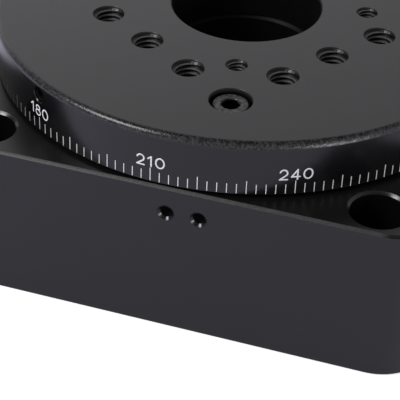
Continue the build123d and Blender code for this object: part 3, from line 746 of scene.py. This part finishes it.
# ------------------------------------------------------------- scale on the table
divisions = division_layout()
to_table = Matrix.Rotation(TABLE_ANGLE, 4, "Z")
scale_divisions = divisions.piece(
    "scale_divisions", place=to_table, count=DIVISION_COUNT, radius=TABLE_RADIUS,
    width=DIVISION_WIDTH, depth=MARK_DEPTH, foot=DIVISION_FOOT, short=DIVISION_SHORT,
    long=DIVISION_LONG, every=DIVISION_EVERY, finish=white)
scale_labels = [(str(mark), TABLE_ANGLE + radians(mark)) for mark in range(0, 360, NUMERAL_STEP)]
scale_numerals = numerals_round_drum("scale_numerals", scale_labels, TABLE_RADIUS, NUMERAL_FOOT,
                                     NUMERAL_HEIGHT, NUMERAL_STROKE, white)
for piece in (scale_divisions, scale_numerals):
    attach(piece, "table")

# ---------------------------------------------------------------- tapped threads
copies = copy_layout()


def set_out(name, pattern, places, finish, turn=(0, 0, 0)):
    """Copies of a pattern on these places, as one piece; the pattern itself goes."""
    made = copies.piece(name, start=spots(name, places), pattern=pattern, turn=turn,
                        finish=finish)
    bpy.data.objects.remove(pattern)
    return made


grid = [-2, -1, 0, 1, 2]
grid_edge = [(x, y) for x in grid for y in grid if max(abs(x), abs(y)) == 2]
m6_places = [Vector((GRID_PITCH * x, GRID_PITCH * y, 0)) for x, y in grid_edge
             if abs(x) != abs(y)]
m4_places = [Vector(on_circle(SMALL_TAP_CIRCLE, pi / 4 + pi / 2 * i, 0)) for i in range(4)]
thread_kinds = [("m6_threads", m6_places, M6_THREAD), ("m4_threads", m4_places, M4_THREAD)]
for name, places, size in thread_kinds:
    pattern = helical_ridge(name + "_pattern", *size, TABLE_THICKNESS - size[-1])
    threads = set_out(name, pattern, [to_table @ place for place in places], thread)
    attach(threads, "table")

grip_angle = TABLE_ANGLE + pi
grip_pattern = helical_ridge("grip_pattern", *M3_THREAD, GRIP_HOLE_DEPTH)
grip_threads = set_out("grip_threads", grip_pattern,
                       [on_circle(TABLE_RADIUS, grip_angle, GRIP_HOLE_Z)], deep_thread,
                       (0, pi / 2, grip_angle))
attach(grip_threads, "table")


def front_holes(depth):
    """The points this deep on the two front holes' axes."""
    return [Vector((x, BASE_FRONT + depth, FRONT_HOLE_Z)) for x in FRONT_HOLE_PLACES]


front_pattern = helical_ridge("front_pattern", *FRONT_THREAD, FRONT_THREAD_LENGTH)
front_threads = set_out("front_threads", front_pattern, front_holes(FRONT_THREAD_START),
                        deep_thread, (pi / 2, 0, 0))
mouth_pattern = lofted("mouth_pattern", [
    ring(1.57 * MM, 0.0), ring(1.58 * MM, -0.06 * MM), ring(1.2 * MM, -0.47 * MM),
    ring(1.12 * MM, -0.47 * MM), ring(1.12 * MM, -0.42 * MM), ring(1.5 * MM, 0.0)],
    mouth, True)
front_lips = set_out("front_thread_mouths", mouth_pattern, front_holes(0.0), mouth,
                     (pi / 2, 0, 0))
for piece in (front_threads, front_lips):
    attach(piece, "base")

# ------------------------------------------------------------------------ screws
screw_places = [to_table @ Vector(on_circle(SCREW_CIRCLE, pi / 4 + pi / 2 * i, -SCREW_DEPTH))
                for i in range(4)]
table_screw = cap_screw_pattern("table_screw", 2 * MM, 10 * MM, 3.5 * MM, 4 * MM, 3 * MM)
table_screws = set_out("socket_cap_screws", table_screw, screw_places, oxide,
                       (0, 0, SCREW_TURN))
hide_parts("table_screws")
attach(table_screws, "table")
# Headless screws set back in the front holes, in the near-black finish that paints their shade.
front_screw = set_screw_pattern("front_screw", 1.5 * MM, 4 * MM, 1.5 * MM)
front_screws = set_out("headless_screws", front_screw, front_holes(FRONT_SCREW_RECESS),
                       shaded_oxide, (pi / 2, 0, 0))
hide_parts("front_set_screws")
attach(front_screws, "base")

# ----------------------------------------------------------- index line and dial
dial_place = (Matrix.Translation((0, WORM_Y, WORM_Z)) @ Matrix.Rotation(pi / 2, 4, "Y"))
dial_fill = filled_black()
dial_marks = divisions.piece(
    "dial_divisions", place=dial_place, count=DIAL_COUNT, radius=DIAL_RADIUS,
    width=DIAL_MARK_WIDTH, depth=MARK_DEPTH, foot=DIAL_START + DIAL_BEVEL + 0.1 * MM,
    short=DIAL_SHORT, long=DIAL_LONG, every=DIAL_EVERY, finish=dial_fill)
dial_labels = [(str(mark), tau * mark / 4) for mark in range(4)]
dial_numerals = numerals_round_drum(
    "dial_numerals", dial_labels, DIAL_RADIUS, DIAL_NUMERAL_FOOT, DIAL_NUMERAL_HEIGHT,
    DIAL_NUMERAL_STROKE, dial_fill, dial_place)
for piece in (dial_marks, dial_numerals):
    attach(piece, "worm")


def index_mark(name, start, end, width, angle, place):
    """A filled line along a radius, its ends rounded, lying on a flat face."""
    curve = round_curve(name, width)
    add_stroke(curve, [(start + width / 2, 0), (end - width / 2, 0)], width / 2)
    mesh = curve_mesh(curve)
    flat = Matrix.Diagonal((1, 1, INDEX_THICKNESS / width, 1))
    mesh.transform(place @ Matrix.Rotation(angle, 4, "Z") @ flat)
    mesh.materials.append(white)
    made = bpy.data.objects.new(name, mesh)
    bpy.context.scene.collection.objects.link(made)
    return made


scale_index = index_mark("scale_index", *SCALE_INDEX, SCALE_INDEX_ANGLE,
                         Matrix.Translation((0, 0, BASE_TOP)))
dial_index = index_mark("dial_index", *DIAL_INDEX, 0.0,
                        Matrix.Translation((0, WORM_Y, CAP_TOP)))
for piece in (scale_index, dial_index):
    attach(piece, "base")

# ------------------------------------------------------------------------ studio
def paper_white():
    """A pale sweep that shows white, and still takes the stage's shadow."""
    finish = Finish("paper_white", Roughness=0.9)
    finish.shader.inputs["Base Color"].default_value = (0.7, 0.675, 0.84, 1)
    path = finish.node("ShaderNodeLightPath")
    seen = (Value(finish, path.outputs["Is Camera Ray"])
            + Value(finish, path.outputs["Is Glossy Ray"]) * 0.15
            + Value(finish, path.outputs["Is Transmission Ray"])).clamped()
    finish.shader.inputs["Emission Strength"].default_value = 1.0
    mixed = finish.node("ShaderNodeMix", {"data_type": "RGBA"},
                        {0: seen, 6: (0, 0, 0, 1), 7: (0.58, 0.595, 0.52, 1)})
    finish.tree.links.new(mixed.outputs[2], finish.shader.inputs["Emission Color"])
    return finish.material


floor_shape = bmesh.new()
bmesh.ops.create_grid(floor_shape, x_segments=2, y_segments=2, size=1.5,
                      matrix=Matrix.Translation((0, 0, BASE_BOTTOM - 0.02 * MM)))
floor = mesh_object("floor", floor_shape, paper_white())

world = bpy.data.worlds.new("studio")
bpy.context.scene.world = world
world.use_nodes = True
sky = Shades(world.node_tree)
towards = sky.node("ShaderNodeSeparateXYZ", None,
                   {0: sky.node("ShaderNodeTexCoord").outputs["Generated"]})
side, behind, height = (Value(sky, socket) for socket in towards.outputs)
path = sky.node("ShaderNodeLightPath")
bare = (Value(sky, path.outputs["Is Camera Ray"])
        + Value(sky, path.outputs["Is Transmission Ray"])).clamped()
mirrored = Value(sky, path.outputs["Is Glossy Ray"])
back_wall = ramp(behind, 0.15, 0.5) * (0.65 - side * 0.85) * (1.0 - ramp(height, 0.68, 0.84))
low_walls = (1.0 - ramp(height, 0.45, 0.9)) * (0.35 + 0.65 * ramp(side, -0.85, -0.35))
seen_in_metal = 0.1 + (back_wall.maths("MAXIMUM", back_wall, low_walls * 0.5)).clamped() * 1.15
strength = mirrored * seen_in_metal + (1.0 - mirrored) * 0.6
tint = sky.node("ShaderNodeMix", {"data_type": "RGBA"},
                {0: bare, 6: (0.79, 0.78, 0.808, 1), 7: (1, 1, 1, 1)})
light = sky.node("ShaderNodeBackground", None,
                 {"Color": tint.outputs[2], "Strength": bare + (1.0 - bare) * strength})
output = sky.node("ShaderNodeOutputWorld", None, {"Surface": light.outputs[0]})


def lamp(name, place, aim, size, power):
    """A square soft lamp that points from its place towards aim."""
    light = bpy.data.lights.new(name, "AREA")
    light.size = size
    light.energy = power
    made = bpy.data.objects.new(name, light)
    made.location = place
    made.rotation_mode = "QUATERNION"
    made.rotation_quaternion = (Vector(aim) - Vector(place)).to_track_quat("-Z", "Y")
    bpy.context.scene.collection.objects.link(made)


lamp("left_softbox", (-0.42, -0.4, 0.5), (0, 0, -0.02), 0.26, 3.4)
lamp("right_softbox", (0.62, -0.36, 0.09), (0, 0, -0.02), 0.2, 1.2)

# ------------------------------------------------------------------------ camera
camera = bpy.data.objects.new("camera", bpy.data.cameras.new("camera"))
right = Vector((cos(CAMERA_AZIMUTH), sin(CAMERA_AZIMUTH), 0))
back = Vector((sin(CAMERA_AZIMUTH) * cos(CAMERA_ELEVATION),
               -cos(CAMERA_AZIMUTH) * cos(CAMERA_ELEVATION), sin(CAMERA_ELEVATION)))
up = back.cross(right)
columns = (cos(CAMERA_ROLL) * right - sin(CAMERA_ROLL) * up,
           sin(CAMERA_ROLL) * right + cos(CAMERA_ROLL) * up, back)
camera.matrix_world = (Matrix.Translation(CAMERA_PLACE)
                       @ Matrix(columns).transposed().to_4x4())
camera.data.lens = CAMERA_LENS
camera.data.clip_start = 0.01
bpy.context.scene.collection.objects.link(camera)
bpy.context.scene.camera = camera
bpy.context.scene.view_settings.view_transform = "Standard"
